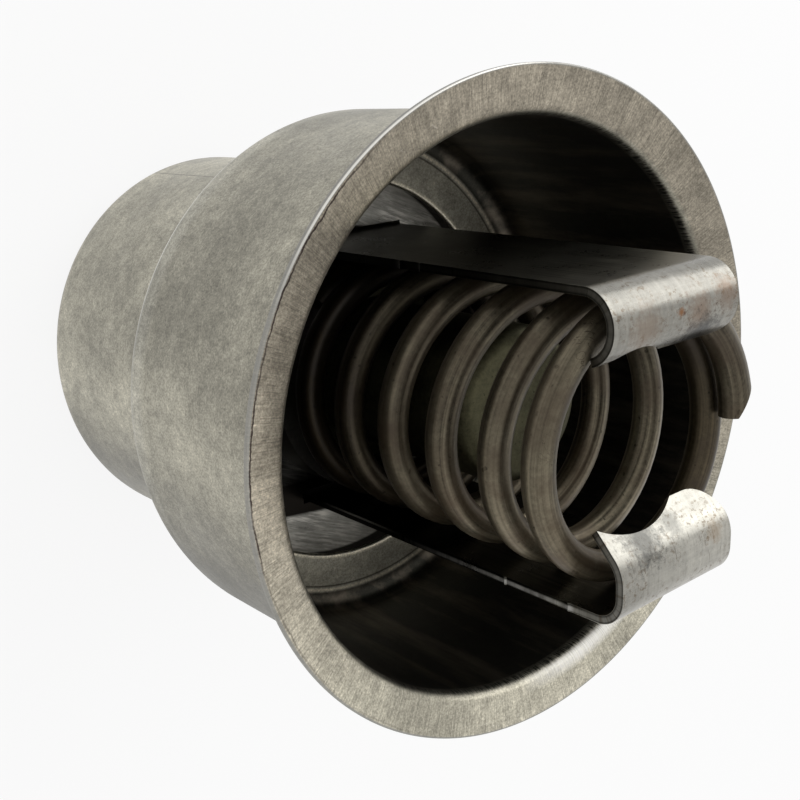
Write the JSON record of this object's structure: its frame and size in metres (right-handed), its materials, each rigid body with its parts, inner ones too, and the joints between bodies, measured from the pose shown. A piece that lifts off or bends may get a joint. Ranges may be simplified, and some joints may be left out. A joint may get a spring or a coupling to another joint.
{
  "type": "engine thermostat",
  "caption": "Sleeve type coolant thermostat: a flanged sheet metal bell slides on a strap frame with hooked arms, held back by a coil spring round a wax element.",
  "frame": {"origin": "on the sleeve's axis at the back face of the seat disc, the plane the part stands on", "axes": "+Z along the sleeve toward the mouth and the hooks, +Y toward the arm with the lower hook, +X across the strap toward the cut end of the spring's front coil"},
  "size_m": [0.076, 0.076, 0.093],
  "materials": {
    "seat_disc": "satin",
    "frame_strap": "rolled, scratched",
    "rivet_upper": "satin",
    "rivet_lower": "satin",
    "piston_socket": "turned",
    "piston": "ground",
    "main_spring": "drawn, stained",
    "valve_sleeve": "dull satin",
    "neck_sleeve": "dull satin",
    "carrier_plate": "brushed",
    "spring_seat": "satin",
    "element_cup": "tarnished",
    "element_guide": "turned",
    "wax_fill": "dull",
    "rubber_plug": "matt",
    "plug_washer": "smooth",
    "guide_bush": "turned",
    "piston_seal": "matt",
    "seal_cap": "satin",
    "element_clip": "satin"
  },
  "bodies": {
    "frame": {"seat_disc": "seat_disc", "frame_strap": "frame_strap", "rivet_upper": "rivet_upper", "rivet_lower": "rivet_lower", "piston_socket": "piston_socket", "piston": "piston", "main_spring": "main_spring"},
    "sleeve": {"valve_sleeve": "valve_sleeve", "neck_sleeve": "neck_sleeve", "carrier_plate": "carrier_plate", "spring_seat": "spring_seat", "element_cup": "element_cup", "element_guide": "element_guide", "wax_fill": "wax_fill", "rubber_plug": "rubber_plug", "plug_washer": "plug_washer", "guide_bush": "guide_bush", "piston_seal": "piston_seal", "seal_cap": "seal_cap", "element_clip": "element_clip"}
  },
  "joints": [
    {"name": "valve_slide", "type": "slide", "parent": "frame", "child": "sleeve", "axis": [0, 0, 1], "range_m": [0, 0.009], "stiffness_N_per_m": 12000, "springref_m": -0.004, "deforming": ["main_spring"]}
  ]
}
